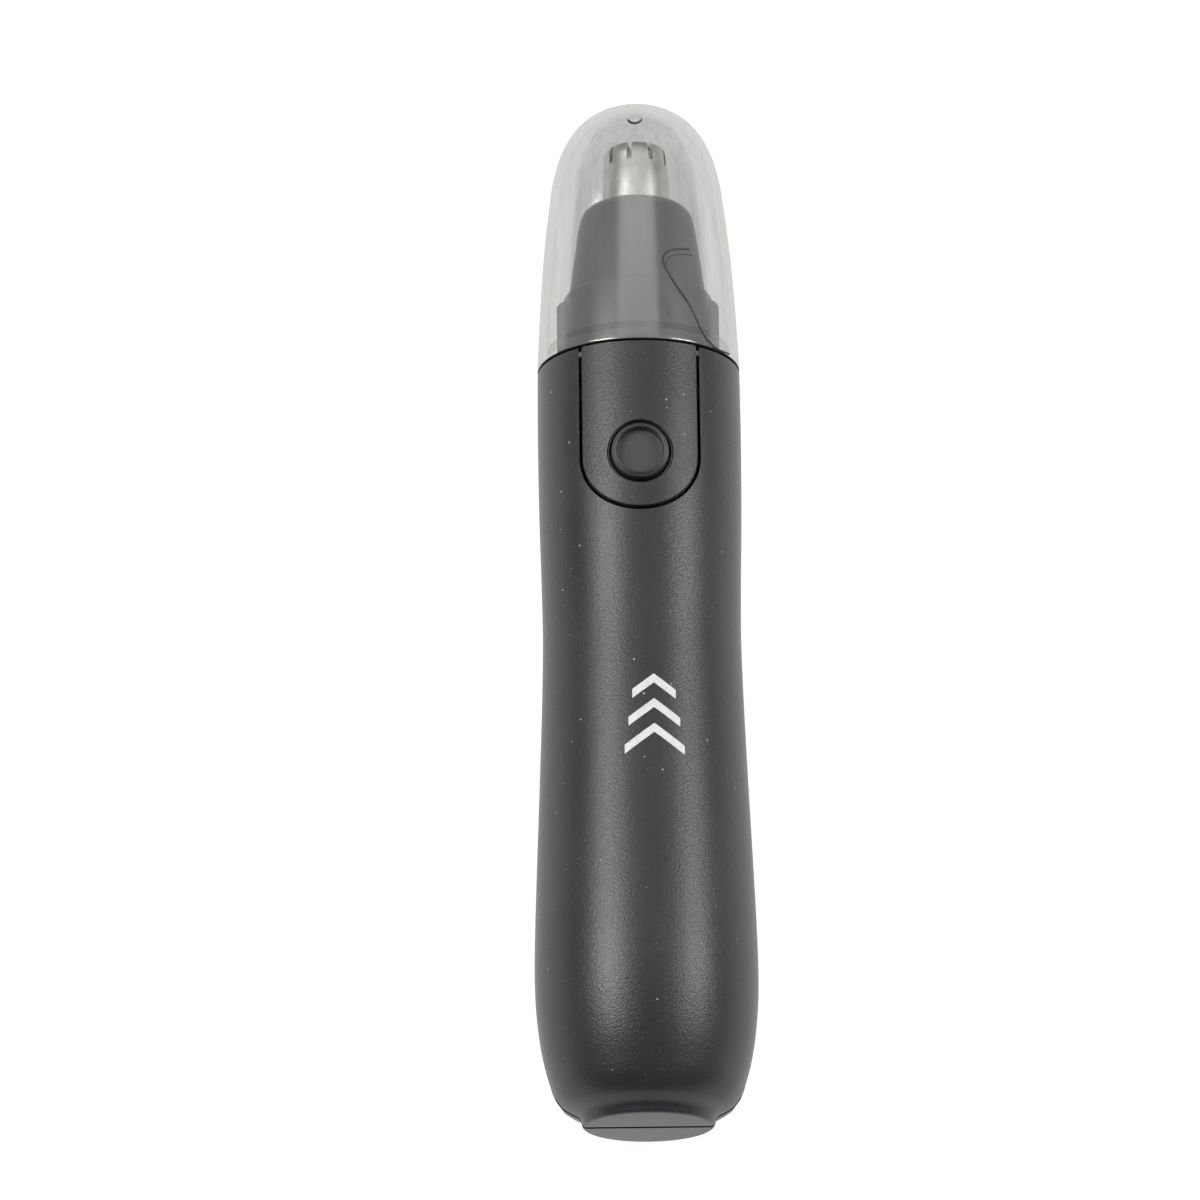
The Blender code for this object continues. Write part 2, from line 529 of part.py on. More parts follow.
def cutter():
    """What spins inside the head: the driven shaft, its spring and washer, and the four-winged blade."""
    shaft = rod("cutter_shaft", 1.4, 103.6, 131.2, WHITE_PLASTIC)
    combine(shaft, 'UNION', [
        box("drive_dog", (-DOG_HALF_WIDTH, -DOG_HALF_DEPTH, 98.5), (DOG_HALF_WIDTH, DOG_HALF_DEPTH, 104.2)),
        rod("spring_seat", 3.2, 112.0, 112.8)])
    wire("cutter_spring", helix(113.4, 115.7, 3.0, 2.5, 2.5), 0.25, SPRING_STEEL)
    ring("cutter_washer", 1.7, 3.6, 116.2, 116.7, PLATED_STEEL)
    blade = rod("cutter_blade", 2.4, 131.6, 134.4, CUTTER_STEEL)
    for count in range(2):
        wings = box(f"blade_wings_{count}", (-3.2, -0.3, 134.0), (3.2, 0.3, 138.8))
        wings.rotation_euler.z = math.pi / 2 * count
        combine(blade, 'UNION', [wings])


def cap():
    """The clear dome that pulls straight off, thicker round its mouth where it grips the collar's lugs."""
    inside = [point for point in inset(CAP_SIDE, CAP_WALL) if point[1] > 110]
    turned("protective_cap", CAP_SIDE[::-1] + [(11.75, CAP_MOUTH), (11.75, 109.0), (12.55, 109.5)] + inside,
           SMOKE_CLEAR, FINE)


casing()
switch_panel()
power_switch()
chassis()
battery()
motor()
neck()
head()
cutter()
cap()
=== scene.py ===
# %% [markdown]
# # A nose hair trimmer, modelled and finished in Blender
# The trimmer lies on its back: its long axis runs along +Y from the foot to the tip, the switch side looks
# up (+Z), and it rests on a flat of its battery cover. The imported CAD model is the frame: it says where
# everything is and what moves. This file builds the skins that are seen around that frame, and every
# finish.

# %% Load the frame
import math

import bpy
from mathutils import Matrix, Vector


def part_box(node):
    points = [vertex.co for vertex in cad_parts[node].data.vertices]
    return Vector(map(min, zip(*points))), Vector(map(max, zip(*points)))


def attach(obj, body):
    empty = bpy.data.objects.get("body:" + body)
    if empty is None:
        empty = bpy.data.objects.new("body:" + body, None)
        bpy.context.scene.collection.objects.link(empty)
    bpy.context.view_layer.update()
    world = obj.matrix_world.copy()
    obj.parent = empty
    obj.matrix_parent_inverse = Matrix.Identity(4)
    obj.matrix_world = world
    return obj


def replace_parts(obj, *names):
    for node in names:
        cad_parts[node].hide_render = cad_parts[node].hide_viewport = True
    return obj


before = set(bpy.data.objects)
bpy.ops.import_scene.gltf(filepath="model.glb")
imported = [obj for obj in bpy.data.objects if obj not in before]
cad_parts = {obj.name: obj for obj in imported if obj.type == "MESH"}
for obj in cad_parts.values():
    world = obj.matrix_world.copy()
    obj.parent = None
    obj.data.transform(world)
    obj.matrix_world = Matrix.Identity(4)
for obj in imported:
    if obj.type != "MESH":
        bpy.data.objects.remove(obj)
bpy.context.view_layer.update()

# %% [markdown]
# Nearly every turned piece shares one axis, so its height and the foot's place are measured once, from
# the clear cap and the casing. Distances along the trimmer are then given in millimetres from the foot,
# heights in millimetres over the axis, as on a drawing.

# %% Measures along the trimmer
MM = 0.001
AXIS_Z = sum(corner.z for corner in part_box("protective_cap")) / 2
FOOT_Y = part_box("main_housing")[0].y


def level(node, end):
    """Millimetres from the foot to the low (0) or high (1) end of a CAD node."""
    return (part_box(node)[end].y - FOOT_Y) / MM


RIM = level("main_housing", 1)
TIP = level("protective_cap", 1)
BUTTON_AT = (level("power_button", 0) + level("power_button", 1)) / 2
COVER_TOP = 70.1
HALF_SEAM = 0.15
WALL = 1.8
FAR = 20        # beyond the skin on every side
print(f"rim {RIM:.1f} mm, tip {TIP:.1f} mm, button {BUTTON_AT:.1f} mm from the foot")
print(f"long axis {AXIS_Z / MM:.2f} mm up")

# %% [markdown]
# The casing's side is a long soft curve: a bulge that fits the palm, a waist, and a slight flare to the
# rim. A few points of it are given as radius and distance from the foot, and a smooth curve is run through
# them. Straight facets between the points would show as bands in the long highlights.

# %% Outlines
CASING_POINTS = [
    (9.8, 1.6), (11.4, 2.6), (12.35, 3.95), (13.12, 6.2), (14.0, 9.6), (14.6, 13.6), (14.88, 16.9),
    (14.97, 20.2), (14.87, 26.9), (14.64, 33.5), (14.11, 47.0), (13.64, 60.6), (13.5, 67.5),
    (13.6, 75.0), (13.83, 84.6), (13.97, 98.6), (13.93, RIM)]


def flowing(points, spacing=1.2):
    """A smooth curve through (radius, distance) points, with new points about that far apart."""
    knots = [Vector(point) for point in points]
    slopes = []
    for i, here in enumerate(knots):
        before, after = knots[max(i - 1, 0)], knots[min(i + 1, len(knots) - 1)]
        if before == here or after == here:
            slopes.append((after - before).normalized())
            continue
        near, far = (here - before).length, (after - here).length
        slopes.append(((here - before) / near * far + (after - here) / far * near) / (near + far))
    curve = [knots[0]]
    for i, (here, there) in enumerate(zip(knots, knots[1:])):
        length = (there - here).length
        count = max(round(length / spacing), 1)
        for step in range(1, count + 1):
            t = step / count
            leaving = (2 * t**3 - 3 * t**2 + 1) * here + (t**3 - 2 * t**2 + t) * length * slopes[i]
            curve.append(leaving + (3 * t**2 - 2 * t**3) * there + (t**3 - t**2) * length * slopes[i + 1])
    return [(point.x, point.y) for point in curve]


def rounded(corners, steps=5):
    """An outline of (radius, distance) corners; a third number rounds that corner off over that length."""
    outline = []
    for i, corner in enumerate(corners):
        here = Vector(corner[:2])
        if len(corner) < 3:
            outline.append(tuple(here))
            continue
        before, after = Vector(corners[i - 1][:2]), Vector(corners[(i + 1) % len(corners)][:2])
        start = here + (before - here).normalized() * corner[2]
        end = here + (after - here).normalized() * corner[2]
        for step in range(steps + 1):
            t = step / steps
            outline.append(tuple(start.lerp(here, t).lerp(here.lerp(end, t), t)))
    return outline


SIDE = flowing(CASING_POINTS)


def radius_on(outline, distance):
    """The radius of a (radius, distance) outline at a distance from the foot."""
    for (r0, d0), (r1, d1) in zip(outline, outline[1:]):
        if d0 <= distance <= d1:
            return r0 + (r1 - r0) * (distance - d0) / (d1 - d0)
    return outline[0][0] if distance < outline[0][1] else outline[-1][0]


def side_radius(distance):
    """The casing's outer radius at a distance from the foot."""
    return radius_on(SIDE, distance)


def arc(radius, steps, sweep=math.pi):
    """Points round a centre, from the right side on: half a turn unless told otherwise."""
    angles = [sweep * step / steps for step in range(steps + 1)]
    return [(radius * math.cos(angle), radius * math.sin(angle)) for angle in angles]


print(f"casing side: {len(SIDE)} points, widest {max(r for r, d in SIDE):.2f} mm")

# %% [markdown]
# Most pieces are turned. As by hand: one vertex is placed, pulled along the outline by extruding, and the
# line is spun once round an axis. Doubles are merged where the spin meets itself, and normals are made to
# agree.

# %% Drawing and turning
SAME_PLACE = 2e-7       # metres: vertices nearer than this are one


def deselect():
    """Leave edit mode and select nothing."""
    if bpy.context.mode != 'OBJECT':
        bpy.ops.object.mode_set(mode='OBJECT')
    bpy.ops.object.select_all(action='DESELECT')


def pick(piece):
    """Select one piece alone and make it the active one."""
    deselect()
    piece.select_set(True)
    bpy.context.view_layer.objects.active = piece
    return piece


def settled(name):
    """Leave edit mode, put the active piece's place into its mesh, and name it."""
    if bpy.context.mode != 'OBJECT':
        bpy.ops.object.mode_set(mode='OBJECT')
    piece = pick(bpy.context.object)
    piece.name = piece.data.name = name
    bpy.ops.object.transform_apply(location=True, rotation=True, scale=True)
    return piece


def spot(x, distance, height):
    """A point in metres from its place across, from the foot and over the axis, in millimetres."""
    return Vector((x * MM, FOOT_Y + distance * MM, AXIS_Z + height * MM))


def draw(places):
    """Place one vertex and extrude it along the places; stays in edit mode with the whole line selected."""
    deselect()
    bpy.ops.mesh.primitive_plane_add(size=MM, location=(0, 0, 0))
    bpy.ops.object.mode_set(mode='EDIT')
    bpy.ops.mesh.select_all(action='SELECT')
    bpy.ops.mesh.merge(type='CENTER')
    bpy.ops.transform.translate(value=places[0])
    for here, there in zip(places, places[1:]):
        bpy.ops.mesh.extrude_vertices_move(TRANSFORM_OT_translate={"value": there - here})
    bpy.ops.mesh.select_all(action='SELECT')


def tidy_mesh():
    """Merge doubles and turn every face outwards, in edit mode."""
    bpy.ops.mesh.select_all(action='SELECT')
    bpy.ops.mesh.remove_doubles(threshold=SAME_PLACE)
    bpy.ops.mesh.normals_make_consistent(inside=False)


def turn(name, outline, steps=128, upright=False):
    """Spin a (radius, distance) outline about the long axis, or about the button's if it is upright."""
    if upright:
        pivot, about = spot(0, BUTTON_AT, 0), Vector((0, 0, 1))
    else:
        pivot, about = spot(0, 0, 0), Vector((0, 1, 0))
    draw([pivot + Vector((radius * MM, 0, 0)) + about * distance * MM for radius, distance in outline])
    bpy.ops.mesh.spin(steps=steps, angle=2 * math.pi, center=pivot, axis=about)
    tidy_mesh()
    return settled(name)


def closed(outline):
    """An outline that ends where it starts, for a piece with a hole along its axis."""
    return outline + outline[:1]


# %% [markdown]
# Seams and grooves are cuts. A Boolean modifier takes a cutter out of a piece and is applied at once. A
# thin round bead cut along each seam breaks its sharp edge, because no moulded edge is a perfect corner:
# the small hollow catches a line of light on both sides of the dark gap.

# %% Cutting and joining
def change(piece, operation, tool):
    """Cut, join or trim a piece with a tool, then drop the tool."""
    pick(piece)
    step = piece.modifiers.new("cut", 'BOOLEAN')
    step.operation = operation
    step.solver = 'EXACT'
    step.object = tool
    bpy.ops.object.modifier_apply(modifier=step.name)
    bpy.data.objects.remove(tool, do_unlink=True)
    return piece


def block(name, low, high):
    """A cube stretched between two corners, each given across, from the foot and over the axis."""
    deselect()
    low, high = spot(*low), spot(*high)
    bpy.ops.mesh.primitive_cube_add(size=1, location=(low + high) / 2)
    bpy.ops.transform.resize(value=high - low)
    return settled(name)


def slab(name, outline, low, high):
    """A flat outline of (x, distance) points, pulled up from low to high over the axis."""
    draw([spot(x, distance, low) for x, distance in closed(outline)])
    bpy.ops.mesh.remove_doubles(threshold=SAME_PLACE)
    bpy.ops.mesh.edge_face_add()
    bpy.ops.mesh.extrude_region_move(TRANSFORM_OT_translate={"value": (0, 0, (high - low) * MM)})
    tidy_mesh()
    return settled(name)


def bead(name, places, radius, sides=3):
    """A round bar: the line drawn along the places is made a curve, thickened, and made a mesh again."""
    draw(places)
    bpy.ops.mesh.remove_doubles(threshold=SAME_PLACE)
    settled(name)
    bpy.ops.object.convert(target='CURVE')
    curve = bpy.context.object.data
    curve.bevel_depth = radius * MM
    curve.bevel_resolution = sides
    curve.use_fill_caps = True
    bpy.ops.object.convert(target='MESH')
    bpy.ops.object.mode_set(mode='EDIT')
    tidy_mesh()
    return settled(name)


def soften(piece, width, segments=3, angle=40):
    """Round a piece's sharp edges with an applied Bevel."""
    pick(piece)
    edge = piece.modifiers.new("edge", 'BEVEL')
    edge.width = width * MM
    edge.segments = segments
    edge.limit_method = 'ANGLE'
    edge.angle_limit = math.radians(angle)
    bpy.ops.object.modifier_apply(modifier=edge.name)
    return piece


def smooth(piece, angle=32):
    """Smooth shading that keeps edges sharper than the angle."""
    pick(piece)
    bpy.ops.object.shade_smooth_by_angle(angle=math.radians(angle))
    return piece


def swing(piece, angle):
    """Turn a piece about the trimmer's long axis."""
    pick(piece)
    bpy.ops.object.mode_set(mode='EDIT')
    bpy.ops.mesh.select_all(action='SELECT')
    # Without a window the operator turns the other way, hence the minus.
    bpy.ops.transform.rotate(value=-angle, orient_axis='Y', center_override=spot(0, 0, 0))
    return settled(piece.name)


def on_skin(x, distance):
    """The height of the casing's front at a place across and a distance from the foot."""
    return math.sqrt(side_radius(distance)**2 - x**2)


def copy_of(piece, name):
    """A second piece with a mesh of its own."""
    pick(piece)
    bpy.ops.object.duplicate()
    bpy.context.object.name = bpy.context.object.data.name = name
    return bpy.context.object


# %% [markdown]
# ## Casing and battery cover
# Both are one form split in two: the front half with the whole tube above the waist, and the cover that
# makes the rear half up to there. So one hollow blank is turned, copied, and each copy loses the other's
# part. The gap between them is 0.3 mm, as moulded parts of this size have, and wider across the foot.

# %% The blank
FOOT_SIDE = rounded([(0, 0), (8.75, 0, 0.45), (9.0, 0.95), (9.3, 1.35), (9.8, 1.6)])[:-1]
FOOT_INSIDE = [(11.4, 7.5), (9.85, 4.6), (7.2, 2.2), (0, 2.2)]
RIM_SIDE = rounded([(13.93, RIM - 0.8), (13.93, RIM, 0.3), (12.1, RIM, 0.3), (12.1, RIM - 1.5)])
CAVITY = [(radius - WALL, distance) for radius, distance in SIDE[::4] if 9.5 < distance < RIM - 2]
blank_outline = FOOT_SIDE + SIDE[:-1] + RIM_SIDE[1:] + CAVITY[::-1] + FOOT_INSIDE
casing = turn("casing", blank_outline)
cover = copy_of(casing, "rear_cover")
print("blank:", len(casing.data.polygons), "faces")

# %% [markdown]
# The switch panel sits in a tongue-shaped notch: straight sides from the rim and a half circle about the
# button. The same outline, a little wider or narrower, cuts the notch and makes the panel. A rail inside
# each side of the casing guides the cover as it slides.

# %% Casing
PANEL_HALF = 8.0
GROOVE = 0.4
SEAM_BEAD, PANEL_BEAD = 0.3, 0.33
STUB_HALF, STUB_TOP, FOOT_HALF_SEAM = 9.3, 1.3, 0.42


def tongue(half_width, top, steps=48):
    """Outline of the switch panel, round about the button, from the right side round to the left."""
    bottom = [(x, BUTTON_AT - down) for x, down in arc(half_width, steps)]
    return [(half_width, top)] + bottom + [(-half_width, top)]


def seam_bars():
    """Two bars along the cover's seam: up both sides and across the foot, and round the back at the waist."""
    stub = [(8.3, 0.0), (8.75, 0.45), (9.0, 0.95), (9.3, 1.35)]
    edge = stub + [point for point in SIDE if point[1] < COVER_TOP] + [(side_radius(COVER_TOP), COVER_TOP)]
    run = [(-r, d) for r, d in edge[::-1]] + edge
    waist = [spot(x, COVER_TOP, -down) for x, down in arc(side_radius(COVER_TOP), 64)]
    return (bead("seam_bar", [spot(x, d, 0) for x, d in run], SEAM_BEAD),
            bead("waist_bar", waist, SEAM_BEAD))


def panel_bar(spacing=0.8):
    """A bar along the groove round the switch panel, on the casing's skin."""
    outline = tongue(PANEL_HALF, RIM + 2, 64)
    run = []
    for (x0, d0), (x1, d1) in zip(outline, outline[1:]):
        count = max(round(math.hypot(x1 - x0, d1 - d0) / spacing), 1)
        run += [(x0 + (x1 - x0) * i / count, d0 + (d1 - d0) * i / count) for i in range(count)]
    return bead("panel_bar", [spot(x, d, on_skin(x, d)) for x, d in run + outline[-1:]], PANEL_BEAD)


change(casing, 'DIFFERENCE', block("rear_half", (-FAR, -1, -FAR), (FAR, COVER_TOP + HALF_SEAM, HALF_SEAM)))
change(casing, 'DIFFERENCE', slab("notch", tongue(PANEL_HALF + GROOVE / 2, RIM + 4), 5, FAR))
change(casing, 'DIFFERENCE', block("foot_gap", (-STUB_HALF, -1, -1), (STUB_HALF, STUB_TOP, FOOT_HALF_SEAM)))
for bar in (*seam_bars(), panel_bar()):
    change(casing, 'DIFFERENCE', bar)
mid_wall = [(r - WALL / 2, d) for r, d in SIDE[::3] if 9 < d < 60]
for side in (-1, 1):
    near, far = sorted((side * 10.4, side * 11.4))
    rail = block("cover_rail", (near, 12, -1.6), (far, 56, 8))
    change(rail, 'INTERSECT', turn("rail_room", [(0, 60)] + mid_wall[::-1] + [(0, 9)], 48))
    change(casing, 'UNION', rail)
smooth(casing)
print("casing:", len(casing.data.polygons), "faces")

# %% [markdown]
# The cover's back has a long flat to lie on and for the thumb, with six rounded grooves to push against,
# and a short tongue that tucks into the tube above it.

# %% Battery cover
PAST_RIM = 110
GRIPS, FIRST_GRIP, GRIP_PITCH = 6, 52.0, 2.4
change(cover, 'DIFFERENCE', block("front_half", (-FAR, -1, -HALF_SEAM), (FAR, PAST_RIM, FAR)))
change(cover, 'DIFFERENCE', block("above", (-FAR, COVER_TOP - HALF_SEAM, -FAR), (FAR, PAST_RIM, FAR)))
change(cover, 'DIFFERENCE', block("flat", (-FAR, -1, -FAR), (FAR, PAST_RIM, -AXIS_Z / MM)))
change(cover, 'DIFFERENCE', block("foot_gap", (-STUB_HALF, -1, -FOOT_HALF_SEAM), (STUB_HALF, STUB_TOP, 1)))
for bar in seam_bars():
    change(cover, 'DIFFERENCE', bar)
for count in range(GRIPS):
    distance = FIRST_GRIP + GRIP_PITCH * count
    depth = -side_radius(distance) - 0.3
    groove = bead("grip_groove", [spot(-7, distance, depth), spot(7, distance, depth)], 0.95, 6)
    change(cover, 'DIFFERENCE', groove)
tuck = turn("cover_tuck", closed([
    (11.5, 73.5), (11.5, 70.0), (12.3, 69.4), (12.3, 66), (10.6, 66), (10.6, 73.5)]))
change(tuck, 'INTERSECT', block("tuck_width", (-8, 60, -15), (8, 80, -2)))
smooth(change(cover, 'UNION', tuck))
print("battery cover:", len(cover.data.polygons), "faces")

# %% [markdown]
# ## Switch panel and button
# The panel follows the casing's curve, so it is cut from a turned shell and not from a flat plate. A wider
# flange behind the casing's wall holds it, and closes the groove to the light from inside. A bead cut round
# the button hole gives its rolled edge.

# %% Switch panel
PANEL_FOOT, FLANGE_FOOT, FLANGE_TOP = 81.4, 79, 98.5
THIN, THICK = 1.5, 2.9          # the panel above the flange, and beside it
shell_outer = [(r, d) for r, d in SIDE if PANEL_FOOT < d]
shell_low = [(r - THICK, d) for r, d in SIDE if PANEL_FOOT < d < FLANGE_TOP]
shell_high = [(side_radius(FLANGE_TOP) - THIN, FLANGE_TOP), (side_radius(RIM) - THIN, RIM)]
panel = turn("switch_plate", closed(shell_outer[::-1] + shell_low + shell_high), 160)
change(panel, 'INTERSECT', slab("panel_shape", tongue(PANEL_HALF - GROOVE / 2, RIM + 4, 64), 5, FAR))
flange_front = [(r - 2.1, d) for r, d in SIDE[::2] if FLANGE_FOOT < d < FLANGE_TOP]
flange = turn("panel_flange", closed(flange_front[::-1] + [(r - 0.8, d) for r, d in flange_front]))
change(flange, 'INTERSECT', slab("flange_shape", tongue(9.2, FLANGE_TOP + 3), 5, FAR))
change(panel, 'UNION', flange)
hole_side = [(0, 16), (4.7, 16), (4.7, 14.5), (4.42, 13.7), (4.08, 12.9), (4.08, 5), (0, 5)]
change(panel, 'DIFFERENCE', turn("button_hole", hole_side, 96, upright=True))
hole_edge = [(x, BUTTON_AT + up) for x, up in arc(4.36, 96, 2 * math.pi)]
change(panel, 'DIFFERENCE', bead("hole_bar", [spot(x, d, on_skin(x, d)) for x, d in hole_edge], 0.16))
pocket_side = [(0, 11.9), (5.23, 11.9), (5.23, 5), (0, 5)]
change(panel, 'DIFFERENCE', turn("flange_pocket", pocket_side, 60, upright=True))
change(panel, 'DIFFERENCE', panel_bar())
smooth(panel)
print("switch panel:", len(panel.data.polygons), "faces")

# %% [markdown]
# The button is a dull disc, near the panel's level, in a ring that stands a millimetre over it, so a thumb
# finds it but a pocket does not press it. It is turned about the push direction.

# %% Power button
button_side = rounded([
    (2.7, 13.68), (3.0, 13.7, 0.08), (3.2, 14.8, 0.1), (3.36, 14.86, 0.06), (3.6, 14.45, 0.06),
    (3.84, 14.3, 0.1), (3.9, 13.6), (3.9, 11.6), (4.7, 11.6), (4.7, 10.8), (0, 10.8)])
button = turn("push_button", [(0, 13.66), (2.2, 13.67)] + button_side, 96, upright=True)
smooth(button, 40)
print("button:", len(button.data.polygons), "faces")

# %% [markdown]
# ## Neck collar
# The collar joins casing and head. Two lugs on its sides grip the clear cap from inside; they are extruded
# slabs with a lead-in slope and rounded edges, joined to the turned ring. Notches inside let the head's two
# ears in, and the head then turns to lock.

# %% Neck collar
COLLAR_TOP = level("neck_collar", 1) + 0.2      # a little nearer to the cone than in the frame
UNLOCK_TURN = math.radians(40)
LUG_HALF = 2.6
LUG = [(8.5, 105.5), (11.2, 105.5), (11.2, 115.5), (10.8, 116.1), (9.8, 116.6), (8.5, 116.8)]
collar = turn("collar", closed(rounded([
    (10.3, 106.0), (10.3, COLLAR_TOP, 0.4), (6.1, COLLAR_TOP, 0.2), (6.1, 112.0), (7.9, 112.0),
    (7.9, 99.5), (11.8, 99.5), (11.8, 101.5), (10.5, 101.5), (10.5, 103.5), (11.8, 103.5),
    (11.8, 105.9, 0.15)])), 96)
for side in (-1, 1):
    lug = slab("cap_lug", [(side * x, d) for x, d in LUG], -LUG_HALF, LUG_HALF)
    change(collar, 'UNION', soften(lug, 0.4, 4))
    near, far = sorted((side * 4.5, side * 7.8))
    notch = block("ear_notch", (near, 111, -LUG_HALF), (far, 118, LUG_HALF))
    change(collar, 'DIFFERENCE', swing(notch, UNLOCK_TURN))
smooth(collar)
print("collar:", len(collar.data.polygons), "faces")

# %% [markdown]
# ## Head
# The nose cone is a thin-walled moulding with a soft shoulder round the tube. The blade tube is steel:
# drawn thin, domed a little at the edge, and slotted from the tip so that hairs can enter and meet the
# spinning blade.

# %% Nose cone
CONE_TOP = level("head_cone", 1)
cone_foot = rounded([(9.2, 117.3), (9.45, 117.3, 0.12), (9.4, 117.9)])[1:]
cone_side = flowing([
    (9.3, 119.0), (8.62, 124.0), (7.95, 128.3), (7.65, 129.35), (7.0, 130.2), (6.1, 130.65),
    (5.0, CONE_TOP)], 0.5)
cone_inside = [(5.0, 129.2), (6.4, 129.1), (6.5, 128.0), (7.6, 121.0), (8.2, 119.0), (8.2, 117.3)]
cone = turn("nose_cone", closed(cone_foot + cone_side + cone_inside), 96)
smooth(cone)
print("cone:", len(cone.data.polygons), "faces, top at", round(CONE_TOP, 2), "mm")

# %% Blade tube
TUBE_TOP = level("blade_tube", 1)
SLOTS = 9
FIRST_SLOT = math.radians(-12)
SLOT_HALF, SLOT_DEPTH = 0.35, 2.8
tube_inside = [
    (0, 139.1), (3.4, 139.1), (3.75, 138.3), (4.2, 134.6), (4.2, 128.1), (6.0, 128.1), (6.0, 128.8)]
tube_side = flowing([
    (4.66, 128.8), (4.66, 131.0), (4.6, 134.6), (4.4, 136.8), (4.17, 138.9), (3.95, 139.4),
    (3.55, TUBE_TOP)], 0.35)
tube = turn("slotted_tube", tube_inside + tube_side + [(0, TUBE_TOP)], 96)
for count in range(SLOTS):
    cutter = block("blade_slot", (-SLOT_HALF, TUBE_TOP - SLOT_DEPTH, 1.4), (SLOT_HALF, TUBE_TOP + 2, 7))
    change(tube, 'DIFFERENCE', swing(cutter, FIRST_SLOT + 2 * math.pi * count / SLOTS))
smooth(tube, 28)
print("blade tube:", len(tube.data.polygons), "faces,", SLOTS, "slots")

# %% [markdown]
# ## Clear cap
# The cap is one thin shell. Its outer side is a smooth curve, and its inner side is the same curve moved in
# by the wall's thickness, so the wall is even, as a moulding needs. Round the mouth it is thicker, where it
# grips the collar's lugs. A small dished mark near the crown is where the plastic entered the mould. The
# faces then get one of three slots: the outside with the step behind the lip, the inside, and the mouth,
# each finished in its own way.

# %% Cap
CAP_MOUTH = level("protective_cap", 0)
CAP_WALL = 1.2
MOUTH_RADIUS = 13.94
STEP_FOOT, STEP_TOP = 109.0, 109.6      # where the thicker lip ends inside
cap_outer = flowing([
    (MOUTH_RADIUS, CAP_MOUTH + 0.3), (13.5, 115.7), (12.78, 125.2), (12.25, 129.9), (11.6, 134.6),
    (10.65, 138.1), (9.6, 140.4), (8.35, 142.2), (6.75, 143.65), (4.9, 144.7), (2.7, 145.3),
    (0, TIP)], 0.9)


def moved_in(outline, distance):
    """An outline moved inwards, square to its own run; it runs from the foot up."""
    moved = []
    for i, (radius, height) in enumerate(outline):
        before, after = Vector(outline[max(i - 1, 0)]), Vector(outline[min(i + 1, len(outline) - 1)])
        run = (after - before).normalized()
        moved.append((max(radius - run.y * distance, 0.0), height + run.x * distance))
    return moved


def cap_radius(distance):
    """The cap's outer radius at a distance from the foot."""
    return radius_on(cap_outer, distance)


cap_inner = [point for point in moved_in(cap_outer[:-1], CAP_WALL) if point[1] > 110] + [(0, TIP - CAP_WALL)]
cap_lip = rounded([
    (12.55, 110), (12.55, STEP_TOP), (11.75, STEP_FOOT, 0.25), (11.75, CAP_MOUTH, 0.2),
    (MOUTH_RADIUS, CAP_MOUTH, 0.25), (MOUTH_RADIUS, CAP_MOUTH + 0.3)])[1:-1]
cap = turn("clear_cap", cap_inner[::-1] + cap_lip + cap_outer, 160)

# The dish is a shallow bite of a ball held off the skin, square to it: so much along and so much up.
GATE = (-0.12, 140.5)
BALL_RADIUS, BALL_OFF = 1.6, 1.45
SQUARE_ALONG, SQUARE_UP = 0.49, 0.87
deselect()
bpy.ops.mesh.primitive_uv_sphere_add(segments=40, ring_count=24, radius=BALL_RADIUS * MM, location=spot(
    GATE[0], GATE[1] + BALL_OFF * SQUARE_ALONG, cap_radius(GATE[1]) + BALL_OFF * SQUARE_UP))
change(cap, 'DIFFERENCE', settled("gate_dish"))
smooth(cap, 40)


def cap_side(face):
    """0 for a face on the cap's outside or its inner step, 1 on its inside, 2 at its mouth."""
    distance = (face.center.y - FOOT_Y) / MM
    across = math.hypot(face.center.x, face.center.z - AXIS_Z) / MM
    if distance < CAP_MOUTH + 0.12:
        return 2
    if STEP_FOOT - 0.1 < distance < STEP_TOP + 0.1:
        return 0
    under_the_crown = distance < TIP - 1.5 and face.normal.y < -0.3
    return int(across < cap_radius(distance) - CAP_WALL / 2 or under_the_crown)


sides = [cap_side(face) for face in cap.data.polygons]
print("cap:", len(sides), "faces;", sides.count(1), "inside,", sides.count(2), "at the mouth")

# %% [markdown]
# A hairline flaw runs through the cap's wall from beside the right lug up to the front, where it hooks
# over. It is a dark thread let into the cap's skin, because a line painted on would show no depth. A
# fainter dark thread deeper in the wall beside it is a painted reflection of the hairline in the cap's
# inner side.

# %% Hairline in the cap, with its painted reflection
FLAW = [
    (12.41, 106.9), (10.72, 106.7), (8.68, 108.6), (7.75, 110.6), (6.81, 112.45), (5.61, 114.15),
    (4.13, 116.5), (3.47, 117.75), (3.62, 119.0), (4.46, 119.85), (5.84, 120.25), (7.08, 120.5)]


def in_wall(points, depth):
    """Places at a depth under the cap's outside, along a curve through (x, distance) points on its front."""
    places = []
    for x, distance in flowing(points, 0.6):
        radius = cap_radius(max(distance, CAP_MOUTH + 0.4)) - depth
        places.append(spot(x, distance, math.sqrt(max(radius**2 - x**2, 0.0))))
    return places


# The deeper, thinner thread is a painted reflection of the hairline, shifted beside it in the wall.
hairline_reflection = bead("painted_hairline_reflection", in_wall([(x + 0.34, d - 0.55) for x, d in FLAW[1:]], 0.5), 0.09)
hairline_and_reflection = bead("cap_hairline_with_reflection", in_wall(FLAW, 0.05), 0.15)
hairline_reflection.select_set(True)
bpy.ops.object.join()
smooth(hairline_and_reflection, 60)
print("hairline:", len(hairline_and_reflection.data.polygons), "faces")

# %% [markdown]
# ## Printed mark
# A plain mark of three chevrons that point to the tip stands where such casings are printed. Pad print is a
# film of ink on the curved surface: a shell a few hundredths of a millimetre proud of the casing, cut to
# the mark's shape.

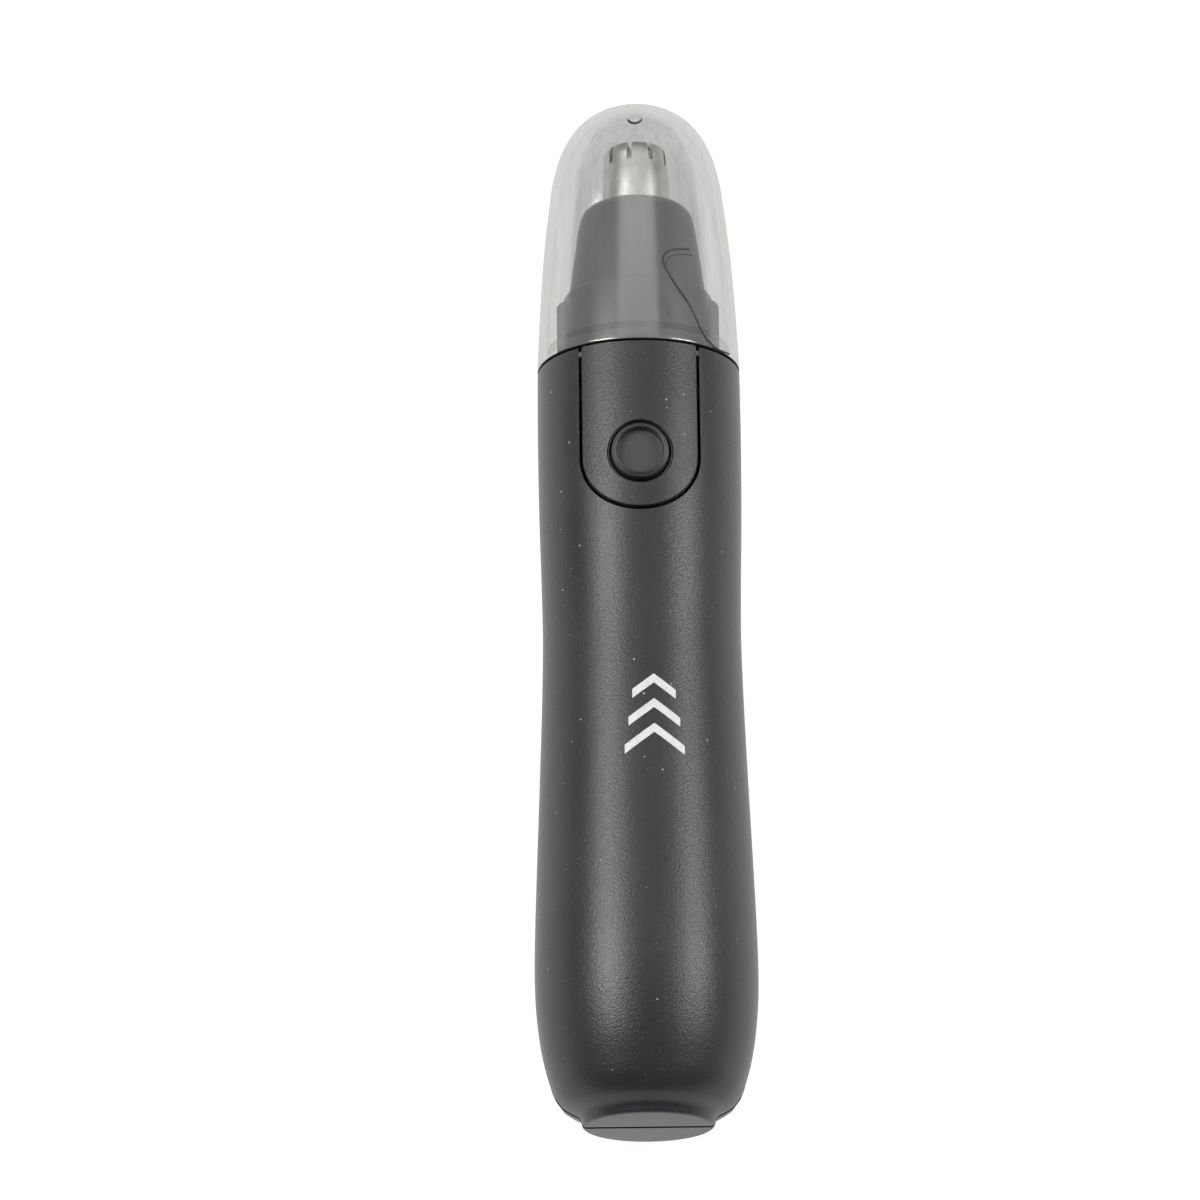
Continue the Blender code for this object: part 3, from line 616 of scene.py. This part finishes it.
# %% Printed mark
MARK_X, MARK_FOOT = 1.4, 47.6
INK_ROWS = range(44, 67)
ink_top = [(side_radius(d) + 0.03, d) for d in reversed(INK_ROWS)]
ink_under = [(side_radius(d) - 0.05, d) for d in INK_ROWS]
mark = turn("printed_mark", closed(ink_top + ink_under), 192)
chevrons = None
for count in range(3):
    foot, half = MARK_FOOT + 3.9 * count, 4.0 - 0.55 * count
    top, rise = foot + 1.25, half * 0.75
    shape = [(-half, foot), (-half, top), (0, top + rise), (half, top), (half, foot), (0, foot + rise)]
    chevron = slab("chevron", [(x + MARK_X, d) for x, d in shape], 8, 20)
    chevrons = change(chevrons, 'UNION', chevron) if chevrons else chevron
change(mark, 'INTERSECT', chevrons)
smooth(mark)
print("mark:", len(mark.data.polygons), "faces")

# %% [markdown]
# ## Battery cell
# It shows when the cover is slid off. Its steel can is rolled over a plastic ring at the positive end,
# inside a shrunk jacket whose edge stands round both ends.

# %% Battery cell
CELL_FOOT = level("battery_cell", 0)
CELL_SIDE = [
    (0, 0.35), (6.5, 0.35), (6.7, 0, 0.15), (7.25, 0, 0.3), (7.25, 49.5, 0.3), (6.7, 49.5, 0.15),
    (6.5, 49.1), (3.0, 49.1), (2.75, 49.3), (2.7, 50.5, 0.3), (0, 50.5)]
cell_side = [(radius, CELL_FOOT + distance, *bend) for radius, distance, *bend in CELL_SIDE]
cell = turn("round_cell", rounded(cell_side), 96)
smooth(cell)
print("cell:", len(cell.data.polygons), "faces")

# %% [markdown]
# ## Where every piece belongs
# Each new piece stands for a CAD node and rides on the body that carries it, so a pose moves them together.

# %% Ride and replace
for piece, body, node, finish_slot in (
        (casing, "body", "main_housing", "soft_touch"),
        (cover, "cover", "battery_cover", "soft_touch"),
        (panel, "body", "switch_panel", "panel_plastic"),
        (button, "button", "power_button", "button_plastic"),
        (collar, "body", "neck_collar", "neck_plastic"),
        (cone, "head", "head_cone", "neck_plastic"),
        (tube, "head", "blade_tube", "blade_steel"),
        (cap, "cap", "protective_cap", "clear_cap"),
        (cell, "body", "battery_cell", "cell_jacket")):
    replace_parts(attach(piece, body), node)
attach(mark, "body")
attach(hairline_and_reflection, "cap")

# %% [markdown]
# # Finishes
# Shader maths is written as it would be on paper. A Signal wraps one socket, and adding or multiplying
# signals adds the Math nodes. A Finish is one material: add() makes any other node, with its settings
# first.

# %% Shader helpers
class Signal:
    """One socket of a shader tree that can be used in sums."""

    def __init__(self, tree, socket):
        self.tree, self.socket = tree, socket

    def _math(self, operation, *terms):
        node = self.tree.nodes.new('ShaderNodeMath')
        node.operation = operation
        for socket, term in zip(node.inputs, terms):
            feed(self.tree, socket, term)
        return Signal(self.tree, node.outputs[0])

    def __add__(self, other):
        return self._math('ADD', self, other)

    def __radd__(self, other):
        return self._math('ADD', other, self)

    def __sub__(self, other):
        return self._math('SUBTRACT', self, other)

    def __rsub__(self, other):
        return self._math('SUBTRACT', other, self)

    def __mul__(self, other):
        return self._math('MULTIPLY', self, other)

    def __rmul__(self, other):
        return self._math('MULTIPLY', other, self)

    def __pow__(self, other):
        return self._math('POWER', self, other)

    def __lt__(self, other):
        return self._math('LESS_THAN', self, other)


def feed(tree, socket, value):
    """Link a signal to a socket, or set the socket to a value."""
    if isinstance(value, Signal):
        tree.links.new(value.socket, socket)
    elif isinstance(value, tuple) and len(value) == 3 and socket.type == 'RGBA':
        socket.default_value = (*value, 1.0)
    else:
        socket.default_value = value


class Finish:
    """One procedural material, whose patterns read Object coordinates in metres."""

    def __init__(self, name):
        self.material = bpy.data.materials.new(name)
        self.material.use_nodes = True
        self.tree = self.material.node_tree
        self.tree.nodes.clear()
        self.place = self.add('ShaderNodeTexCoord', output='Object')

    def add(self, kind, settings=None, sockets=None, output=0):
        """Make a node of that type; settings are set before its sockets get their values or links."""
        node = self.tree.nodes.new(kind)
        for name, value in (settings or {}).items():
            setattr(node, name, value)
        for name, value in (sockets or {}).items():
            feed(self.tree, node.inputs[name], value)
        return Signal(self.tree, node.outputs[output])

    def noise(self, size, detail=3.0, stretch=(1, 1, 1), rough=0.55):
        """Soft noise with features about that many millimetres across, stretched along an axis if asked."""
        where = self.add('ShaderNodeMapping', None, {'Vector': self.place, 'Scale': stretch})
        return self.add('ShaderNodeTexNoise', None, {
            'Vector': where, 'Scale': 1 / (size * MM), 'Detail': detail, 'Roughness': rough}, 'Fac')

    def step(self, signal, low, high):
        """0 below low and 1 above high, smooth between."""
        return self.add('ShaderNodeMapRange', {'interpolation_type': 'SMOOTHSTEP'}, {
            'Value': signal, 'From Min': low, 'From Max': high})

    def mix(self, factor, first, second):
        """A blend of two colours."""
        return self.add('ShaderNodeMix', {'data_type': 'RGBA'}, {0: factor, 6: first, 7: second}, 2)

    def bump(self, height, strength, depth):
        """Relief from a height signal, depth in millimetres."""
        return self.add('ShaderNodeBump', None, {
            'Strength': strength, 'Distance': depth * MM, 'Height': height})

    def shade(self, **sockets):
        """The Principled shader; underscores in names stand for spaces."""
        return self.add('ShaderNodeBsdfPrincipled', None, {
            name.replace("_", " "): value for name, value in sockets.items()})

    def end(self, shader):
        """Link the shader to the output and give back the material."""
        output = self.tree.nodes.new('ShaderNodeOutputMaterial')
        self.tree.links.new(shader.socket, output.inputs['Surface'])
        return self.material

    def specks(self, size, share, shift=0.0):
        """Sparse round specks of about that many millimetres, in a share of the cells of a shifted grid."""
        where = self.add('ShaderNodeVectorMath', {'operation': 'ADD'}, {0: self.place, 1: (shift,) * 3})
        grid = {'Vector': where, 'Scale': 1 / (size * 4 * MM), 'Randomness': 1.0}
        near = self.add('ShaderNodeTexVoronoi', None, grid, 'Distance')
        cell_colour = self.add('ShaderNodeTexVoronoi', None, grid, 'Color')
        pick_cell = self.add('ShaderNodeSeparateColor', None, {'Color': cell_colour}, 'Red')
        return (1 - self.step(near, 0.08, 0.16)) * (pick_cell < share)


def paint(material, *pieces):
    """Give pieces or CAD nodes one material in their first slot."""
    for piece in pieces:
        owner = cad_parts[piece] if isinstance(piece, str) else piece
        owner.data.materials.clear()
        owner.data.materials.append(material)


# %% [markdown]
# ## Soft-touch casing
# The casing is charcoal plastic under a soft-touch lacquer: dull, fine-grained, with broad highlights. The
# grain is a bump so fine that it only breaks up the highlights, and the lacquer holds dust, so a few pale
# specks lie on it. Roughness wanders a little, as it does where hands have polished it.

# %% Soft-touch finish
CHARCOAL = (0.015, 0.0155, 0.017)


def soft_touch(name, dark, light, rough, dust=0.06):
    """A lacquer that clouds between two colours, with dust in a share of the places it could lie."""
    made = Finish(name)
    cloud = made.noise(9.0, 4.0, (1, 0.45, 1))
    grain = made.noise(0.3, 2.0, rough=0.7)
    dusty = made.add('ShaderNodeMath', {'operation': 'MAXIMUM'}, {
        0: made.specks(0.3, dust), 1: made.specks(0.1, dust)})
    colour = made.mix(made.step(cloud, 0.3, 0.7), dark, light)
    colour = made.mix(dusty * 0.7, colour, (0.42, 0.42, 0.41))
    roughness = rough + 0.08 * (cloud - 0.5) + 0.15 * (grain - 0.5) + 0.2 * dusty
    relief = made.bump(grain + 0.8 * dusty, 0.9, 0.05)
    return made.end(made.shade(Base_Color=colour, Roughness=roughness, Normal=relief, IOR=1.5))


paint(soft_touch("soft_touch_charcoal", CHARCOAL, (0.021, 0.0215, 0.0235), 0.38), casing, cover)
paint(soft_touch("panel_charcoal", CHARCOAL, (0.020, 0.0205, 0.0225), 0.40), panel)
paint(soft_touch("button_grey", (0.034, 0.036, 0.034), (0.044, 0.046, 0.043), 0.4, 0.03), button)

# %% [markdown]
# A seam's gap lies in shade, and shows darker than the modelled gap alone would make it. So the faces
# inside the seam get a finish of their own, near black and dull: painted shade.

# %% Painted shade in the seams
SEAM_REACH = 0.44       # either side of the plane where the halves meet
gap_shade = Finish("painted_gap_shade")
painted_gap_shade = gap_shade.end(gap_shade.shade(
    Base_Color=gap_shade.mix(gap_shade.noise(1.5), (0.005, 0.005, 0.005), (0.014, 0.014, 0.014)), Roughness=0.8))
for piece in (casing, cover):
    piece.data.materials.append(painted_gap_shade)
    for face in piece.data.polygons:
        along = (face.center.y - FOOT_Y) / MM
        if abs(face.center.z - AXIS_Z) < SEAM_REACH * MM and along < COVER_TOP + 0.4:
            face.material_index = 1
    print(piece.name, "has", sum(face.material_index for face in piece.data.polygons), "faces in the seam")

# %% [markdown]
# ## Plastics
# The neck and cone are slate plastic straight from the mould, smoother than the casing. The inner plastics
# differ in colour, gloss and grain only, so one function makes them all, with the mottling and the flow
# that moulding leaves.

# %% Moulded plastics
def moulded(name, colour, rough, mottle=0.12, grain=0.3, relief=0.12, stretch=(1, 0.35, 1)):
    """A plastic, rubber or foam, mottled by a share of its colour, with a grain in millimetres."""
    made = Finish(name)
    flow = made.noise(6.0, 3.0, stretch)
    fine = made.noise(grain, 2.0)
    deep = tuple(channel * (1 - mottle) for channel in colour)
    pale = tuple(min(channel * (1 + mottle), 1.0) for channel in colour)
    body = made.mix(made.step(flow, 0.3, 0.7), deep, pale)
    body = made.mix(made.specks(0.06, 0.03) * 0.4, body, (0.5, 0.5, 0.48))
    return made.end(made.shade(
        Base_Color=body, Roughness=rough + 0.08 * (flow - 0.5) + 0.08 * (fine - 0.5),
        Normal=made.bump(fine, relief, 0.015), IOR=1.5))


paint(moulded("slate_plastic", (0.155, 0.158, 0.162), 0.32, 0.05), collar, cone, "head_base")
paint(moulded("inner_grey_plastic", (0.26, 0.26, 0.27), 0.5), "chassis", "switch_body")
paint(moulded("white_nylon", (0.72, 0.71, 0.66), 0.42, 0.04),
      "switch_actuator", "motor_end_cap", "drive_coupling", "cutter_shaft")
paint(moulded("black_rubber", (0.018, 0.018, 0.019), 0.75, 0.2, 0.2, 0.3), "neck_seal")
paint(moulded("grey_foam", (0.16, 0.16, 0.17), 0.95, 0.3, 0.5, 0.9, (1, 1, 1)), "battery_foam_pad")
paint(moulded("board_laminate", (0.03, 0.17, 0.07), 0.38, 0.15), "switch_board")
paint(moulded("red_lead", (0.55, 0.025, 0.02), 0.4, 0.08), "positive_lead", "motor_lead")
paint(moulded("black_lead", (0.02, 0.02, 0.021), 0.4, 0.1), "negative_lead")
paint(moulded("ferrite", (0.035, 0.034, 0.036), 0.6, 0.25, 0.25, 0.4),
      "motor_magnet_left", "motor_magnet_right")
print("moulded plastics done")

# %% [markdown]
# ## Metals
# Bare metals differ in colour and in how they were worked. Turned and drawn parts carry fine lines round
# the axis, so their noise is squeezed along it. Plated sheet and sintered bushes have an even grain.

# %% Metals
def metal(name, colour, rough, line=0.12, squeeze=(0.15, 1, 0.15), tarnish=0.15):
    """A bare metal with lines that many millimetres apart, and cloudy tarnish."""
    made = Finish(name)
    lines = made.noise(line, 3.0, squeeze)
    cloud = made.noise(1.6, 4.0)
    dull = tuple(channel * (1 - tarnish) * 0.85 for channel in colour)
    body = made.mix(made.step(cloud, 0.35, 0.75), colour, dull)
    return made.end(made.shade(
        Base_Color=body, Metallic=1.0, Roughness=rough + 0.16 * (lines - 0.5) + 0.12 * (cloud - 0.5),
        Normal=made.bump(lines, 0.10, 0.01)))


paint(metal("cutter_steel", (0.76, 0.75, 0.71), 0.42, tarnish=0.06), tube, "cutter_blade")
paint(metal("plated_steel", (0.62, 0.62, 0.6), 0.33, 0.4, (1, 1, 1)),
      "positive_contact", "negative_contact_plate", "motor_can", "motor_screw_left", "motor_screw_right",
      "cutter_washer")
paint(metal("spring_steel", (0.55, 0.55, 0.56), 0.26),
      "button_return_spring", "negative_contact_coil", "motor_shaft", "tube_retainer", "cutter_spring")
paint(metal("contact_brass", (0.75, 0.58, 0.27), 0.3),
      "motor_brush_left", "motor_brush_right", "motor_terminal_left", "motor_terminal_right")
paint(metal("sintered_bronze", (0.5, 0.33, 0.17), 0.45, 0.2, (1, 1, 1), 0.3),
      "motor_bush", "commutator", "head_bush")
paint(metal("wound_copper", (0.62, 0.28, 0.13), 0.38, 0.35, (0.1, 1, 0.1), 0.3), "rotor_core")
print("metals done")

# %% [markdown]
# ## Printed ink and cell jacket
# Ink is matt and slightly uneven, with pinholes. The jacket is plain dark blue film with a pale band at the
# positive end, and both ends are bare metal. Each is told apart by its distance from the foot, read from
# Object coordinates.

# %% Ink and jacket
ink = Finish("white_ink")
pinholes = ink.specks(0.16, 0.4, 3.7)
cover_ink = ink.mix(ink.step(ink.noise(0.8, 3.0), 0.35, 0.7), (0.60, 0.60, 0.58), (0.68, 0.68, 0.67))
ink_colour = ink.mix(pinholes * 0.75, cover_ink, (0.15, 0.15, 0.15))
paint(ink.end(ink.shade(Base_Color=ink_colour, Roughness=0.5)), mark)

jacket = Finish("cell_jacket")
along = jacket.add('ShaderNodeSeparateXYZ', None, {'Vector': jacket.place}, 'Y')
from_foot = (along - FOOT_Y) * (1 / MM)
bare = jacket.step(from_foot, CELL_FOOT + 49.0, CELL_FOOT + 49.25) + (1 - jacket.step(
    from_foot, CELL_FOOT + 0.2, CELL_FOOT + 0.4))
band = jacket.step(from_foot, CELL_FOOT + 35.9, CELL_FOOT + 36.0)
film = jacket.mix(band, (0.035, 0.06, 0.12), (0.42, 0.40, 0.34))
scuff = jacket.noise(2.5, 4.0, (1, 0.2, 1))
film = jacket.mix(jacket.step(scuff, 0.62, 0.8) * 0.3, film, (0.3, 0.3, 0.3))
paint(jacket.end(jacket.shade(
    Base_Color=jacket.mix(bare, film, (0.6, 0.6, 0.58)), Metallic=bare, Roughness=0.26 + 0.1 * (scuff - 0.5),
    Normal=jacket.bump(scuff, 0.08, 0.03))), cell)
print("ink and jacket done")

# %% [markdown]
# ## Clear plastic
# The cap is thin, so light passes nearly straight through it and nothing is bent: the shader mixes clear
# with a glossy smoke-grey film, most of it on the outside, so that what is inside shows through one layer
# and the background through two. The film thickens and darkens towards the outline, where one looks along
# the wall. Fine streaks along it are the polish marks of the mould. A dark crescent along the foot side of
# the gate's dish is painted shade.

# %% Clear cap finish
def disc(made, centre, radius, blur=0.12):
    """1 within a radius of a place given across and from the foot, in millimetres, with a soft edge."""
    middle = spot(*centre, 0)
    flat = made.add('ShaderNodeVectorMath', {'operation': 'MULTIPLY'}, {0: made.place, 1: (1.0, 1.0, 0.0)})
    away = made.add('ShaderNodeVectorMath', {'operation': 'DISTANCE'}, {
        0: flat, 1: (middle.x, middle.y, 0.0)}, 'Value')
    return 1 - made.step(away * (1 / MM), radius - blur, radius + blur)


def clear_plastic(name, least, edge, gate=False):
    """Clear under a film: its least share, what the outline adds, and painted shade at the gate if asked."""
    made = Finish(name)
    streak = made.noise(0.7, 3.0, (1, 0.05, 1))
    smear = made.noise(5.0, 3.0, (1, 0.3, 1))
    edge_on = made.add('ShaderNodeLayerWeight', None, {'Blend': 0.5}, 'Facing')
    darker = edge_on ** 8
    uneven = 0.85 + 0.2 * made.step(streak, 0.45, 0.75) + 0.15 * smear + 0.3 * edge_on ** 2
    film = least * uneven + edge * darker
    if gate:
        # Painted shade: a dark crescent along the foot side of the gate's dish.
        dish_shade = disc(made, GATE, 1.05) * (1 - disc(made, (GATE[0], GATE[1] + 0.6), 1.1))
        film = film + 0.55 * dish_shade
        darker = darker + dish_shade
    gloss = made.shade(
        Base_Color=made.mix(darker, (0.38, 0.365, 0.345), (0.05, 0.049, 0.047)), Metallic=0.85,
        Roughness=0.16 + 0.08 * smear, Normal=made.bump(streak, 0.05, 0.02))
    see_through = made.add('ShaderNodeBsdfTransparent', None, {'Color': (1.0, 1.0, 1.0)})
    return made.end(made.add('ShaderNodeMixShader', None, {0: film, 1: see_through, 2: gloss}))


paint(clear_plastic("smoke_clear_outside", 0.39, 0.3, gate=True), cap)
cap.data.materials.append(clear_plastic("smoke_clear_inside", 0.03, 0.15))
# The mouth takes the painted gap shade too: near black where it closes on the casing's rim.
cap.data.materials.append(painted_gap_shade)
for face, side in zip(cap.data.polygons, sides):
    face.material_index = side

# One dark finish serves the hairline and its painted reflection.
line = Finish("hairline_with_reflection_dark")
line_colour = line.mix(line.noise(1.0), (0.008, 0.008, 0.008), (0.03, 0.028, 0.026))
paint(line.end(line.shade(Base_Color=line_colour, Roughness=0.4)), hairline_and_reflection)
print("clear cap:", [slot.name for slot in cap.data.materials])

# %% [markdown]
# # Studio
# The trimmer lies on a white sweep that is lit from below as product tables are, so it stays nearly
# shadowless. Two soft lights beside it draw the bright bands along the casing; they end before the tip, so
# the steel and the cap stay even. Two broad lights hang high past the tip, a dim near one and a brighter
# far one, and fill the middle; the dim room beyond gives the sides their depth.

# %% Floor and world
deselect()
bpy.ops.mesh.primitive_plane_add(size=6.0, location=(0, 0, -0.0002))
floor = bpy.context.object
floor.name = "studio_floor"
sweep = Finish("white_sweep")
glow = {"Emission_Color": (1.0, 1.0, 1.0), "Emission_Strength": 0.95}
paint(sweep.end(sweep.shade(Base_Color=(0.12, 0.12, 0.12), Roughness=0.9, **glow)), floor)
world = bpy.data.worlds.new("dim_room")
world.use_nodes = True
world.node_tree.nodes["Background"].inputs["Color"].default_value = (0.16, 0.16, 0.165, 1.0)
bpy.context.scene.world = world
bpy.context.scene.view_settings.view_transform = 'Standard'

# %% Lights
def softbox(name, leaning, along, away, size, power):
    """A rectangular light facing the long axis square on: degrees off the vertical, metres and watts."""
    lamp = bpy.data.lights.new(name, 'AREA')
    lamp.shape, (lamp.size, lamp.size_y) = 'RECTANGLE', size
    lamp.energy = power
    holder = bpy.data.objects.new(name, lamp)
    toward = Vector((math.sin(math.radians(leaning)), 0, math.cos(math.radians(leaning))))
    across = Vector((0, 1, 0)).cross(toward)
    holder.matrix_world = Matrix.Translation(Vector((0, along, AXIS_Z)) + toward * away) @ Matrix(
        (across, Vector((0, 1, 0)), toward)).transposed().to_4x4()
    bpy.context.collection.objects.link(holder)
    return holder


softbox("soft_left", leaning=-39, along=0.11, away=0.7, size=(0.28, 0.28), power=3.9)
softbox("soft_right", leaning=50, along=0.11, away=0.7, size=(0.28, 0.28), power=3.1)
softbox("overhead_near", leaning=0, along=0.325, away=1.15, size=(1.3, 0.35), power=1.1)
softbox("overhead_far", leaning=0, along=0.935, away=1.15, size=(1.0, 0.73), power=3.1)

# %% [markdown]
# The camera stands far back over the foot end and looks down steeply, through a long lens, so the trimmer
# is seen nearly square to its length with a little of the foot's face.

# %% Camera
CAMERA_AT = (-0.00566, -0.26135, 0.8144)
camera_data = bpy.data.cameras.new("camera")
camera_data.lens, camera_data.sensor_width = 185.3, 36.0
camera = bpy.data.objects.new("camera", camera_data)
bpy.context.collection.objects.link(camera)
forward, up, right = Vector((0, 0.3114, -0.9503)), Vector((0, 0.9503, 0.3114)), Vector((1, 0, 0))
roll = math.radians(0.65)
rolled_right = right * math.cos(roll) - up * math.sin(roll)
rolled_up = up * math.cos(roll) + right * math.sin(roll)
camera.matrix_world = Matrix.Translation(CAMERA_AT) @ Matrix(
    (rolled_right, rolled_up, -forward)).transposed().to_4x4()
bpy.context.scene.camera = camera
print("camera:", tuple(round(value, 4) for value in camera.location), "lens", camera_data.lens)
